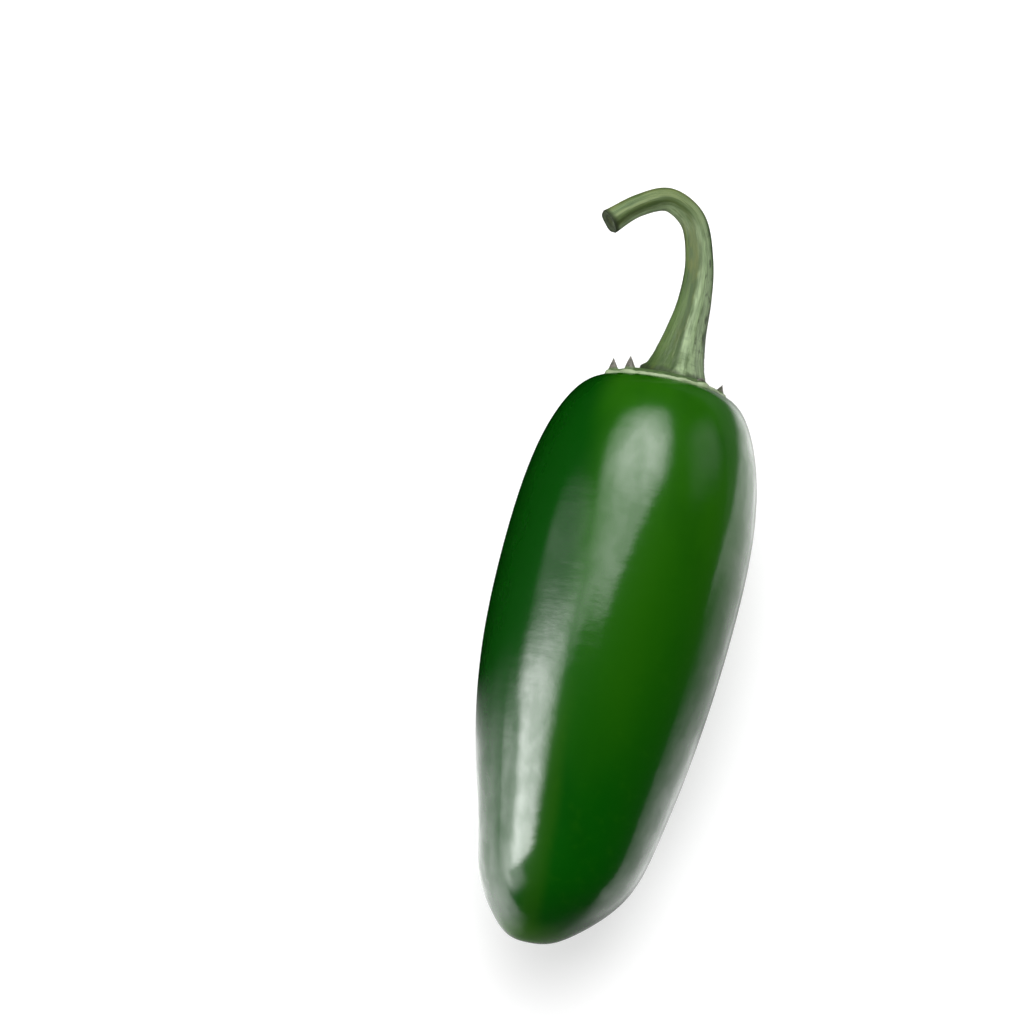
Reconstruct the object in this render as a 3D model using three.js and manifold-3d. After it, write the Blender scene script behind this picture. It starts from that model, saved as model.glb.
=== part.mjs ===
// A whole green jalapeño pepper: the pod, the calyx on its shoulder and the hooked stem.
// Millimetres, +Z up. The pod lies along Y, with its tip toward -Y and its stem toward +Y.
// The origin is the middle of the small flat spot on the underside that the pod rests on.

import * as THREE from 'three';
import { mergeVertices } from 'three/addons/utils/BufferGeometryUtils.js';
import Module from 'manifold-3d';

// Pod: distance from the tip along the axis, and radius there. The skin is the smooth curve
// that these points pull on. It starts and ends on the axis.
const POD_PROFILE = [
  [0, 0], [0.15, 2.9], [2.6, 6.0], [7.5, 10.3], [15, 11.85], [25, 14.2], [36, 15.8],
  [47, 16.2], [57, 16.0], [65.5, 14.7], [71.5, 12.3], [74.6, 9.6], [75, 5], [75, 0],
];

// Pod: distance from the tip, and how far the axis bows to the side there.
const POD_BOW = [
  [0, -3.9], [4, -3.0], [12, -1.7], [25, -2.0], [40, -1.7], [55, -0.6], [68, -0.3], [75, 0],
];

// Pod: soft corners round the cross-section. Angles round the axis are in degrees from the
// top, positive toward +X.
const LOBES = 3;
const LOBE_HEIGHT = 0.012; // part of the radius
const LOBE_ANGLE = -38; // one lobe's place

// Pod: one long shallow furrow along the upper side.
const FURROW = {
  from: 24, // distance from the tip where it starts
  to: 66, // and where it ends
  angleAtStart: -17,
  angleAtEnd: -31,
  halfWidth: 2.6,
  depth: 0.3,
};

// How the pod lies: its stem end a little high, on a flat spot pressed into its underside.
const REST_TILT = 2.4; // degrees
const REST_FLAT_DEPTH = 0.3;

// Calyx: a thin cap that hugs the shoulder, with ribs that end in small erect teeth.
const CALYX_RADIUS = 8.2;
const CALYX_FLAT_RADIUS = 4.6; // the level middle, under the stem's foot
const CALYX_MIDDLE_THICKNESS = 0.6;
const CALYX_RIM_THICKNESS = 0.5;
const CALYX_RIB_HEIGHT = 0.2;
const CALYX_RIB_HALF_ANGLE = 11; // degrees
const TOOTH_PLACE = 7.5; // distance of a tooth from the axis
const TOOTH_WIDTH = 1.3;
const TOOTH_LEAN = 10; // degrees, outward
const TEETH = [
  { angle: -67, height: 1.6 },
  { angle: -40, height: 1.7 },
  { angle: 38, height: 0.5 },
  { angle: 84, height: 1.1 },
  { angle: 124, height: 1.4 },
  { angle: 170, height: 1.5 },
  { angle: 224, height: 1.4 },
];

// Stem: the middle line from the foot to the cut end, as [x, distance from the tip, z]. It
// starts a little low, and the foot is trimmed level with the calyx.
const STEM_PATH = [
  [0.95, 75.6, 0.2], [1.45, 81.5, 0.3], [1.9, 87, 0.5], [1.5, 92.6, 0.8],
  [-0.35, 97.5, 1.4], [-3.9, 99.25, 2.6], [-7.7, 97.45, 3.8], [-11.1, 94.3, 4.8],
];

// Stem: part of the length, and radius there, from the flared foot to the cut end.
const STEM_RADII = [
  [0, 4.75], [0.02, 4.35], [0.06, 3.75], [0.1, 3.35], [0.15, 2.98], [0.21, 2.6], [0.28, 2.32],
  [0.36, 2.1], [0.45, 1.9], [0.54, 1.76], [0.68, 1.67], [0.82, 1.42], [0.92, 1.42], [0.97, 1.55],
  [1, 1.64],
];
const STEM_RIBS = 5;
const STEM_RIB_HEIGHT = 0.05; // part of the radius

// Clearance between neighbouring pieces.
const SEAM = 0.3;

// Fineness of the faceted skins.
const POD_SIDES = 48;
const POD_STEPS = 4; // for each point of the profile
const CALYX_SIDES = 70;
const STEM_SIDES = 20;
const STEM_STEPS = 3; // for each point of the radii
const STEM_FRAMES = 400;

const wasm = await Module();
wasm.setup();

const radians = THREE.MathUtils.degToRad;
const { smoothstep } = THREE.MathUtils;

// The points of a uniform cubic B-spline, pulled by the control points. The two phantom
// points set how it leaves its first end and reaches its last.
function pulledCurve(control, phantomFirst, phantomLast, steps) {
  const all = [phantomFirst, ...control, phantomLast];
  const points = [];
  for (let span = 0; span + 3 < all.length; span += 1) {
    const last = span + 4 === all.length;
    for (let step = 0; step < steps + (last ? 1 : 0); step += 1) {
      const t = step / steps;
      const weights = [
        (1 - t) ** 3 / 6,
        (3 * t ** 3 - 6 * t ** 2 + 4) / 6,
        (-3 * t ** 3 + 3 * t ** 2 + 3 * t + 1) / 6,
        t ** 3 / 6,
      ];
      points.push([0, 1].map((axis) => weights.reduce(
        (sum, weight, i) => sum + weight * all[span + i][axis], 0)));
    }
  }
  return points;
}

// The value at x on a curve of [x, value] points, straight between neighbours.
function valueAt(points, x) {
  const next = points.findIndex(([place]) => place >= x);
  if (next === 0) return points[0][1];
  if (next < 0) return points[points.length - 1][1];
  const [x0, v0] = points[next - 1];
  const [x1, v1] = points[next];
  return v0 + (v1 - v0) * (x - x0) / (x1 - x0);
}

const acrossTheAxis = ([along, radius]) => [along, -radius];
const straightOn = (end, inner) => [2 * end[0] - inner[0], 2 * end[1] - inner[1]];

const podProfile = pulledCurve(
  POD_PROFILE, acrossTheAxis(POD_PROFILE[1]), acrossTheAxis(POD_PROFILE.at(-2)), POD_STEPS);
const bowLine = pulledCurve(
  POD_BOW, straightOn(POD_BOW[0], POD_BOW[1]), straightOn(POD_BOW.at(-1), POD_BOW.at(-2)), POD_STEPS);
const podLength = POD_PROFILE.at(-1)[0];
const calyxTop = podLength + SEAM + CALYX_MIDDLE_THICKNESS;

// Height of the shoulder, as distance from the tip, at a given radius near the stem end.
const shoulder = podProfile
  .filter(([along]) => along > podLength - 6)
  .map(([along, radius]) => [radius, along])
  .reverse();

// Closed solid from a geometry whose seams and poles are doubled.
function solidFrom(geometry) {
  const bare = geometry.clone();
  bare.deleteAttribute('normal');
  bare.deleteAttribute('uv');
  const welded = mergeVertices(bare, 1e-4);
  const triangles = [];
  for (let i = 0; i < welded.index.count; i += 3) {
    const [a, b, c] = [0, 1, 2].map((corner) => welded.index.getX(i + corner));
    if (a !== b && b !== c && c !== a) triangles.push(a, b, c);
  }
  return new wasm.Manifold(new wasm.Mesh({
    numProp: 3,
    vertProperties: new Float32Array(welded.attributes.position.array),
    triVerts: new Uint32Array(triangles),
  }));
}

function geometryFrom(solid) {
  const { vertProperties, triVerts } = solid.getMesh();
  const geometry = new THREE.BufferGeometry();
  geometry.setAttribute('position', new THREE.BufferAttribute(vertProperties, 3));
  geometry.setIndex(new THREE.BufferAttribute(triVerts, 1));
  geometry.computeVertexNormals();
  return geometry;
}

// Moves every vertex of a geometry by a rule.
function reshape(geometry, rule) {
  const place = geometry.attributes.position;
  const point = new THREE.Vector3();
  for (let i = 0; i < place.count; i += 1) {
    point.fromBufferAttribute(place, i);
    rule(point);
    place.setXYZ(i, point.x, point.y, point.z);
  }
  return geometry;
}

// How deep the furrow is at a place on the pod: distance from the tip, radius and angle.
function furrowDepth(along, radius, angle) {
  const { from, to, angleAtStart, angleAtEnd, halfWidth, depth } = FURROW;
  const run = (along - from) / (to - from);
  const fade = smoothstep(run, 0, 0.3) * (1 - smoothstep(run, 0.7, 1));
  const middle = radians(angleAtStart + (angleAtEnd - angleAtStart) * run);
  const aside = radius * (angle - middle) / halfWidth;
  return depth * fade * Math.exp(-aside * aside);
}

// Pod, in its own frame: tip at the origin, axis along +Y.
function podShape() {
  const outline = podProfile.map(([along, radius]) => new THREE.Vector2(Math.max(radius, 0), along));
  return reshape(new THREE.LatheGeometry(outline, POD_SIDES), (point) => {
    const radius = Math.hypot(point.x, point.z);
    const angle = Math.atan2(point.x, point.z);
    const lobe = 1 + LOBE_HEIGHT * Math.cos(LOBES * (angle - radians(LOBE_ANGLE)));
    const skin = radius * lobe - furrowDepth(point.y, radius, angle);
    point.x = skin * Math.sin(angle) + valueAt(bowLine, point.y);
    point.z = skin * Math.cos(angle);
  });
}

// Calyx: its underside follows the shoulder, and its upper side carries the ribs.
function calyxShape() {
  const underside = [0, 2.5, 5, 6.6, 7.6, CALYX_RADIUS];
  const upper = [CALYX_RADIUS + 0.1, CALYX_RADIUS - 0.15, 7.5, 6.8, 6, 5.3, CALYX_FLAT_RADIUS, 2.4, 0];
  const seat = (radius) => valueAt(shoulder, radius) + SEAM;
  const crown = (radius) => {
    const fall = smoothstep(radius, CALYX_FLAT_RADIUS, CALYX_RADIUS);
    return calyxTop + (seat(radius) + CALYX_RIM_THICKNESS - calyxTop) * fall;
  };
  const rimMiddle = seat(CALYX_RADIUS) + CALYX_RIM_THICKNESS / 2;
  const outline = [
    ...underside.map((radius) => new THREE.Vector2(radius, seat(radius))),
    ...upper.map((radius, i) => new THREE.Vector2(radius, i === 0 ? rimMiddle : crown(radius))),
  ];
  return reshape(new THREE.LatheGeometry(outline, CALYX_SIDES), (point) => {
    const radius = Math.hypot(point.x, point.z);
    const angle = Math.atan2(point.x, point.z);
    const rib = Math.max(...TEETH.map((tooth) => {
      const turn = Math.abs(Math.sin((angle - radians(tooth.angle)) / 2) * 2);
      return 1 - smoothstep(turn, 0, radians(CALYX_RIB_HALF_ANGLE) * 2);
    }));
    const onTop = point.y > seat(radius) + 0.1;
    const outward = smoothstep(radius, CALYX_FLAT_RADIUS, 6) * (onTop ? 1 : 0);
    point.y += CALYX_RIB_HEIGHT * rib * outward;
    const scallop = 1 + 0.03 * (rib - 0.5) * smoothstep(radius, 6.6, CALYX_RADIUS);
    point.x *= scallop;
    point.z *= scallop;
  });
}

// One tooth: a flattened spike that stands on the rim with its root sunk in.
function toothShape({ angle, height }) {
  const sunk = 0.6;
  const tooth = new THREE.ConeGeometry(TOOTH_WIDTH / 2, height + sunk, 6);
  tooth.translate(0, (height + sunk) / 2 - sunk, 0);
  tooth.scale(1, 1, 0.6);
  tooth.rotateX(radians(TOOTH_LEAN));
  tooth.translate(0, valueAt(shoulder, TOOTH_PLACE) + SEAM + CALYX_RIM_THICKNESS, TOOTH_PLACE);
  tooth.rotateY(radians(angle));
  return tooth;
}

// Stem: a ribbed rod turned to its radii, then bent along its path.
function stemShape() {
  const path = new THREE.CatmullRomCurve3(STEM_PATH.map((place) => new THREE.Vector3(...place)));
  const frames = path.computeFrenetFrames(STEM_FRAMES, false);
  const radii = pulledCurve(
    STEM_RADII, straightOn(STEM_RADII[0], STEM_RADII[1]),
    straightOn(STEM_RADII.at(-1), STEM_RADII.at(-2)), STEM_STEPS);
  const outline = [
    new THREE.Vector2(0, 0),
    ...radii.map(([part, radius]) => new THREE.Vector2(radius, part)),
    new THREE.Vector2(0, 1),
  ];
  return reshape(new THREE.LatheGeometry(outline, STEM_SIDES), (point) => {
    const part = THREE.MathUtils.clamp(point.y, 0, 1);
    const frame = Math.round(part * STEM_FRAMES);
    const radius = Math.hypot(point.x, point.z);
    const angle = Math.atan2(point.x, point.z);
    const skin = radius * (1 + STEM_RIB_HEIGHT * Math.cos(STEM_RIBS * angle));
    path.getPointAt(part, point);
    point.addScaledVector(frames.binormals[frame], skin * Math.sin(angle));
    point.addScaledVector(frames.normals[frame], skin * Math.cos(angle));
  });
}

// Lays a piece down as the pepper rests: tilted, and with the flat spot's middle at the origin.
const tilted = new THREE.Matrix4().makeRotationX(radians(REST_TILT));
const lowest = podProfile
  .map(([along, radius]) => new THREE.Vector3(0, along, -radius).applyMatrix4(tilted))
  .reduce((low, point) => (point.z < low.z ? point : low));
const lyingDown = new THREE.Matrix4()
  .makeTranslation(0, -lowest.y, -lowest.z - REST_FLAT_DEPTH)
  .multiply(tilted);

function lay(geometry) {
  return geometry.applyMatrix4(lyingDown);
}

function piece(name, geometry, look) {
  const mesh = new THREE.Mesh(geometry, new THREE.MeshStandardMaterial(look));
  mesh.name = name;
  return mesh;
}

// The table under the pod, which presses the flat spot.
const tableDepth = 10;
const table = new THREE.BoxGeometry(60, 160, tableDepth).translate(0, 0, -tableDepth / 2);

const podSolid = solidFrom(lay(podShape())).subtract(solidFrom(table));
const calyxSolid = TEETH.reduce(
  (cap, tooth) => cap.add(solidFrom(lay(toothShape(tooth)))), solidFrom(lay(calyxShape())));

// What lies below the level of the stem's foot.
const trimDepth = 10;
const footTrim = new THREE.BoxGeometry(20, trimDepth, 20)
  .translate(0, calyxTop + SEAM - trimDepth / 2, 0);
const stemSolid = solidFrom(lay(stemShape())).subtract(solidFrom(lay(footTrim)));

const pepper = new THREE.Group();
pepper.add(
  piece('pod', geometryFrom(podSolid), { color: 0x14550a, roughness: 0.25, metalness: 0 }),
  piece('calyx', geometryFrom(calyxSolid), { color: 0x6f9450, roughness: 0.5, metalness: 0 }),
  piece('stem', geometryFrom(stemSolid), { color: 0x5f8a3c, roughness: 0.55, metalness: 0 }),
);

export default pepper;
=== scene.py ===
# A whole green jalapeño pepper, lying on its side on a white table and seen from high above.
import math

import bpy
import numpy as np
from mathutils import Matrix, Vector


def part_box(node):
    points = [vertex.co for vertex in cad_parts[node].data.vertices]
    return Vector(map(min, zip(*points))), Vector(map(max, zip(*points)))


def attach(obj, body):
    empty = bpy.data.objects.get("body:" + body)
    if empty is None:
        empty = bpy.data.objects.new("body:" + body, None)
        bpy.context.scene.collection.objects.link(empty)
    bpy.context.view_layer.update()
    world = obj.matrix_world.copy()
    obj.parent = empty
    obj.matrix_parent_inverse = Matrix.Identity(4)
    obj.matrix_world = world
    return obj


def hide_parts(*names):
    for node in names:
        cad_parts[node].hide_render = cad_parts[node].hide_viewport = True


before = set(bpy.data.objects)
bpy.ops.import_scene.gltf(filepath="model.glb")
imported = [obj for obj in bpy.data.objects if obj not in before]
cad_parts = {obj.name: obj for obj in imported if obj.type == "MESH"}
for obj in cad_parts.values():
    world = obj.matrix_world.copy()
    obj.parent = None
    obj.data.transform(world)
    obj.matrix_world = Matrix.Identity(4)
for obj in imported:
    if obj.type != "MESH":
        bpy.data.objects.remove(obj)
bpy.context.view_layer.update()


# Camera
# A long lens high above the pepper, turned a little so that the pod leans to the right. It is
# placed by where the middle of the pod stands in the picture, with no lens shift.
PICTURE_SIDE = 1024  # pixels
POD_MIDDLE_IN_PICTURE = (604.8, 660.3)  # pixels from the top left corner
CAMERA_DISTANCE = 0.3156
CAMERA_ELEVATION = math.radians(80)
CAMERA_TURN = math.radians(10.9)
LENS = 85
SENSOR_WIDTH = 36
NEAREST_IN_VIEW = 0.01


def add_object(name, data):
    """A new object in the scene."""
    added = bpy.data.objects.new(name, data)
    bpy.context.scene.collection.objects.link(added)
    return added


camera_data = bpy.data.cameras.new("camera")
camera_data.lens = LENS
camera_data.sensor_width = SENSOR_WIDTH
camera_data.clip_start = NEAREST_IN_VIEW
camera = add_object("camera", camera_data)
bpy.context.scene.camera = camera

backward = Vector((
    math.sin(CAMERA_TURN) * math.cos(CAMERA_ELEVATION),
    -math.cos(CAMERA_TURN) * math.cos(CAMERA_ELEVATION),
    math.sin(CAMERA_ELEVATION),
))
rightward = Vector((math.cos(CAMERA_TURN), math.sin(CAMERA_TURN), 0))
upward = backward.cross(rightward)
metres_per_pixel = CAMERA_DISTANCE * camera_data.sensor_width / camera_data.lens / PICTURE_SIDE
pod_low, pod_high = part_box("pod")
camera_place = (
    (pod_low + pod_high) / 2
    + backward * CAMERA_DISTANCE
    - rightward * (POD_MIDDLE_IN_PICTURE[0] - PICTURE_SIDE / 2) * metres_per_pixel
    + upward * (POD_MIDDLE_IN_PICTURE[1] - PICTURE_SIDE / 2) * metres_per_pixel
)
camera.matrix_world = Matrix.Translation(camera_place) @ Matrix(
    (rightward, upward, backward)).transposed().to_4x4()


# Table and light
# A plain white table that glows a little, under a large soft box that reaches back past the stem
# and one that stands at the tip's left, with dimmer cards at the sides. The gloss sees a glowing
# table of its own, a painted reflection: bright at the right and at the tip's left, dark elsewhere,
# with painted shade close by the skin.
TABLE_RADIUS = 0.7
TABLE_SIDES = 96
TABLE_HEIGHT = -0.00005  # just clear of the pepper's flat spot
TABLE_WHITE = (0.47, 0.47, 0.47, 1)
TABLE_GLOW = 0.60
WORLD_IN_VIEW = (1, 1, 1, 1)
WORLD_FILL = (0.004, 0.004, 0.004, 1)

OVERHEAD_HEIGHT = 0.60
OVERHEAD_RADIANCE = 10.0
# The other sizes of the overhead box are in its heights above the table.
OVERHEAD_MIDDLE = (-0.225, 0.875)
OVERHEAD_SIZE = (1.75, 2.25)
OVERHEAD_LEFT_EDGES = ((-1.08, -0.50), (-0.62, -0.18))  # half of the light at each
OVERHEAD_RIGHT_EDGE = (0.60, 0.12)
OVERHEAD_FAR_EDGE = (1.80, 0.62)
OVERHEAD_NEAR_EDGE = (-0.09, 0.08)
OVERHEAD_LEFT_REACH = 0.11  # how much nearer the near edge comes at the left
OVERHEAD_LEFT_SPAN = (-0.28, -0.60)
OVERHEAD_NEAR_LEVEL = 0.48  # how bright it is near the pepper
OVERHEAD_BRIGHTER_SPAN = (0.20, 0.60)

SOFT_EDGES = ((0.0, 0.4), (1.0, 0.6), (0.0, 0.4), (1.0, 0.6))  # left, right, lower, upper
TIP_SIDE_EDGES = ((0.00, 0.48), (1.00, 0.88), (-0.01, 0.36), (0.95, 0.60))
STANDING_LIGHTS = (  # name, bearing, elevation, distance, width, height, radiance, edges
    ("tip_side", -107, 35.5, 0.62, 0.46, 0.60, 14.7, TIP_SIDE_EDGES),
    ("front_fill", -142, 30, 0.60, 0.50, 0.50, 4.6, SOFT_EDGES),
    ("left_card", -80, 34, 0.60, 0.26, 0.44, 1.3, SOFT_EDGES),
    ("right_card", 53, 23, 0.60, 0.40, 0.50, 0.8, SOFT_EDGES),
    ("end_card", -127, 19, 0.58, 0.56, 0.38, 5.0, SOFT_EDGES),
    ("low_card", -120, 6, 0.55, 0.60, 0.22, 5.0, SOFT_EDGES),
)
ONLY_IN_GLOSS = ("tip_side", "end_card", "low_card")
NOT_IN_GLOSS = ("front_fill",)

# The table that the gloss sees. Bearings are in degrees, clockwise from the stem's side.
GLOSS_TABLE_HEIGHT = 0.0006
GLOSS_PIVOT = -0.010  # on the pod's axis, where the bearings are taken from
RIGHT_GLOW = 1.40
RIGHT_FALL = -8.3  # for each metre
RIGHT_RAY = ((88, 114), (164, 138))
RIGHT_RAY_GLOW = 1.05
RIGHT_STRIPS = (((0.022, 0.036), 0.45), ((0.008, 0.024), 0.80))  # where each begins, glow
RIGHT_INNER_EDGE = (0.0, 0.02)
RIGHT_FAR_EDGE = (0.062, 0.042)
RIGHT_NEAR_EDGE = (0.022, 0.062)
RIGHT_NEAR_SLOPE = 1.25
RIGHT_NEAR_START = 0.080
SHADED_OVAL = (0.0165, 0.055)  # half width and half length of the shade by the skin
SHADED_OVAL_MIDDLE = 0.012
SHADED_OVAL_EDGE = (1.1, 1.55)
SHADED_LEVEL = 0.35
BEYOND_EDGES = ((0.0, 0.06), (0.03, 0.06))
BEYOND_GLOW = 0.16
LEFT_RAY = ((186, 224), (274, 238))
LEFT_BRIGHTER = (262, 222)
LEFT_BRIGHTER_GLOW = (0.40, 0.78)  # gain, base
LEFT_FARTHER = (0.03, 0.09)
LEFT_FARTHER_GLOW = (2.2, 1.7)
TIP_RAY = ((120, 145), (240, 205))
TIP_FALL = -16.0
TIP_GLOW = 0.55


def feed(tree, socket, value):
    """Links a socket to another, or sets its value."""
    if isinstance(value, bpy.types.NodeSocket):
        tree.links.new(value, socket)
    else:
        socket.default_value = value


def add_node(tree, kind, inputs=(), **options):
    """Adds a node, sets its options and feeds its inputs by name or number."""
    node = tree.nodes.new(kind)
    for option, value in options.items():
        setattr(node, option, value)
    for name, value in dict(inputs).items():
        feed(tree, node.inputs[name], value)
    return node


def calc(tree, operation, *terms):
    """One step of arithmetic in a node tree."""
    return add_node(tree, "ShaderNodeMath", enumerate(terms), operation=operation).outputs[0]


def fade_in(tree, value, start, end):
    """Nought before start, one past end, and smooth between. Start may be the larger."""
    inputs = {"Value": value, "From Min": start, "From Max": end}
    return add_node(
        tree, "ShaderNodeMapRange", inputs, interpolation_type="SMOOTHSTEP").outputs["Result"]


def product(tree, *terms):
    """All the terms multiplied."""
    total = terms[0]
    for term in terms[1:]:
        total = calc(tree, "MULTIPLY", total, term)
    return total


def from_the_pepper(bearing, elevation, distance):
    """A place round the pepper: bearing in degrees clockwise from the stem's side."""
    bearing, elevation = math.radians(bearing), math.radians(elevation)
    level = math.cos(elevation)
    return distance * Vector((
        math.sin(bearing) * level, math.cos(bearing) * level, math.sin(elevation)))


def soft_box(name, middle, facing, width, height, radiance, pattern):
    """A flat soft light of the given peak radiance, brighter and dimmer by its pattern."""
    data = bpy.data.lights.new(name, "AREA")
    data.shape = "RECTANGLE"
    data.size = width
    data.size_y = height
    data.energy = radiance * math.pi * width * height
    data.use_nodes = True
    tree = data.node_tree
    place = add_node(tree, "ShaderNodeNewGeometry").outputs["Parametric"]
    across, up, _ = add_node(tree, "ShaderNodeSeparateXYZ", {0: place}).outputs
    feed(tree, tree.nodes["Emission"].inputs["Strength"], pattern(tree, across, up))
    light = add_object(name, data)
    light.location = middle
    light.rotation_euler = Vector(facing).to_track_quat("-Z", "Y").to_euler()
    light.visible_camera = False
    return light


def overhead_pattern(tree, across, up):
    """Brightens from every edge inward. Its near edge runs aslant at the right."""
    x, y = (
        calc(tree, "MULTIPLY_ADD", calc(tree, "SUBTRACT", part, 0.5), size, middle)
        for part, size, middle in zip((across, up), OVERHEAD_SIZE, OVERHEAD_MIDDLE))
    near = calc(
        tree, "MULTIPLY_ADD", fade_in(tree, y, *OVERHEAD_BRIGHTER_SPAN),
        1 - OVERHEAD_NEAR_LEVEL, OVERHEAD_NEAR_LEVEL)
    nearer = calc(
        tree, "MULTIPLY_ADD", fade_in(tree, x, *OVERHEAD_LEFT_SPAN), OVERHEAD_LEFT_REACH, y)
    aslant = calc(tree, "SUBTRACT", nearer, calc(tree, "MAXIMUM", x, 0.0))
    outer, inner = (fade_in(tree, x, *edge) for edge in OVERHEAD_LEFT_EDGES)
    from_left = calc(tree, "MULTIPLY_ADD", inner, 0.5, calc(tree, "MULTIPLY", outer, 0.5))
    return product(
        tree, from_left, fade_in(tree, x, *OVERHEAD_RIGHT_EDGE), near,
        fade_in(tree, y, *OVERHEAD_FAR_EDGE), fade_in(tree, aslant, *OVERHEAD_NEAR_EDGE))


def edge_pattern(left, right, lower, upper):
    """A pattern that brightens inward from each edge, over a part of the light's size."""
    def pattern(tree, across, up):
        return product(
            tree, fade_in(tree, across, *left), fade_in(tree, across, *right),
            fade_in(tree, up, *lower), fade_in(tree, up, *upper))
    return pattern


soft_box(
    "overhead", Vector((*OVERHEAD_MIDDLE, 1)) * OVERHEAD_HEIGHT, (0, 0, -1),
    OVERHEAD_SIZE[0] * OVERHEAD_HEIGHT, OVERHEAD_SIZE[1] * OVERHEAD_HEIGHT,
    OVERHEAD_RADIANCE, overhead_pattern)
for name, bearing, elevation, distance, width, height, radiance, edges in STANDING_LIGHTS:
    middle = from_the_pepper(bearing, elevation, distance)
    light = soft_box(name, middle, -middle, width, height, radiance, edge_pattern(*edges))
    light.visible_diffuse = name not in ONLY_IN_GLOSS
    light.visible_glossy = name not in NOT_IN_GLOSS

world = bpy.data.worlds.new("studio")
bpy.context.scene.world = world
world.use_nodes = True
sky = world.node_tree
sky.nodes.clear()
seen = add_node(sky, "ShaderNodeLightPath").outputs["Is Camera Ray"]
fill, in_view = (
    add_node(sky, "ShaderNodeBackground", {"Color": colour}).outputs[0]
    for colour in (WORLD_FILL, WORLD_IN_VIEW))
both = add_node(sky, "ShaderNodeMixShader", {0: seen, 1: fill, 2: in_view}).outputs[0]
add_node(sky, "ShaderNodeOutputWorld", {"Surface": both})
bpy.context.scene.view_settings.view_transform = "Standard"


def table_sheet(name, height, colour, glow):
    """The round matt table top, or a sheet like it. It isn't part of the pepper."""
    turns = np.linspace(0, 2 * math.pi, TABLE_SIDES, endpoint=False)
    mesh = bpy.data.meshes.new(name)
    mesh.from_pydata(
        [(TABLE_RADIUS * math.cos(turn), TABLE_RADIUS * math.sin(turn), height) for turn in turns],
        [], [tuple(range(TABLE_SIDES))])
    material = bpy.data.materials.new(name)
    material.use_nodes = True
    shader = material.node_tree.nodes["Principled BSDF"]
    shader.inputs["Base Color"].default_value = colour
    shader.inputs["Roughness"].default_value = 1.0
    shader.inputs["Specular IOR Level"].default_value = 0.0
    shader.inputs["Emission Color"].default_value = (1, 1, 1, 1)
    feed(material.node_tree, shader.inputs["Emission Strength"], glow(material.node_tree))
    mesh.materials.append(material)
    body = add_object(name, mesh)
    return body


def even_glow(tree):
    """The same everywhere, so that the table comes out white round the shadow."""
    return TABLE_GLOW


def glow_in_gloss(tree):
    """Painted reflection of the table: bright at the right and at the tip's left, faint past the tip
    and past the stem, with painted shade by the skin.
    """
    place = add_node(tree, "ShaderNodeTexCoord").outputs["Object"]
    x, y, _ = add_node(tree, "ShaderNodeSeparateXYZ", {0: place}).outputs
    away = add_node(tree, "ShaderNodeVectorMath", {0: place}, operation="LENGTH").outputs["Value"]
    bearing = calc(tree, "DEGREES", calc(
        tree, "ARCTAN2", x, calc(tree, "SUBTRACT", y, GLOSS_PIVOT)))
    bearing = calc(tree, "FLOORED_MODULO", bearing, 360.0)

    def ray(begin, end):
        return fade_in(tree, bearing, *begin), fade_in(tree, bearing, *end)

    def dying(fall):
        return calc(tree, "EXPONENT", calc(tree, "MULTIPLY", away, fall))

    fading = product(tree, dying(RIGHT_FALL), RIGHT_GLOW)
    to_right = product(tree, *ray(*RIGHT_RAY), RIGHT_RAY_GLOW)
    (far_start, far_glow), (near_start, near_glow) = RIGHT_STRIPS
    strip = calc(
        tree, "MULTIPLY_ADD", fade_in(tree, y, *far_start), far_glow,
        product(tree, fade_in(tree, y, *near_start), near_glow))
    from_tip = calc(
        tree, "MULTIPLY_ADD", calc(tree, "ADD", y, RIGHT_NEAR_START), RIGHT_NEAR_SLOPE, x)
    half_width, half_length = SHADED_OVAL
    in_ovals = add_node(tree, "ShaderNodeVectorMath", {
        0: place, 1: (1 / half_width, 1 / half_length, 0),
        2: (0, -SHADED_OVAL_MIDDLE / half_length, 0),
    }, operation="MULTIPLY_ADD").outputs[0]
    oval = add_node(
        tree, "ShaderNodeVectorMath", {0: in_ovals}, operation="LENGTH").outputs["Value"]
    # Painted shade of the pod on the glowing sheet, close by the skin.
    by_the_skin = calc(
        tree, "MULTIPLY_ADD", fade_in(tree, oval, *SHADED_OVAL_EDGE), 1 - SHADED_LEVEL,
        SHADED_LEVEL)
    right = product(
        tree, calc(tree, "ADD", calc(tree, "ADD", fading, to_right), strip),
        fade_in(tree, y, *RIGHT_FAR_EDGE), fade_in(tree, x, *RIGHT_INNER_EDGE),
        fade_in(tree, from_tip, *RIGHT_NEAR_EDGE), by_the_skin)
    beyond_side, beyond_end = BEYOND_EDGES
    beyond = product(
        tree, fade_in(tree, x, *beyond_side), fade_in(tree, y, *beyond_end), BEYOND_GLOW)
    left = product(
        tree, *ray(*LEFT_RAY),
        calc(tree, "MULTIPLY_ADD", fade_in(tree, bearing, *LEFT_BRIGHTER), *LEFT_BRIGHTER_GLOW),
        calc(tree, "MULTIPLY_ADD", fade_in(tree, away, *LEFT_FARTHER), *LEFT_FARTHER_GLOW))
    tip = product(tree, *ray(*TIP_RAY), dying(TIP_FALL), TIP_GLOW)
    return calc(tree, "ADD", calc(tree, "ADD", right, left), calc(tree, "ADD", beyond, tip))


table_sheet("table", TABLE_HEIGHT, TABLE_WHITE, even_glow)
in_gloss = table_sheet("table_in_gloss", GLOSS_TABLE_HEIGHT, (0, 0, 0, 1), glow_in_gloss)
in_gloss.visible_camera = False
in_gloss.visible_diffuse = False
in_gloss.visible_transmission = False
in_gloss.visible_shadow = False


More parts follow.
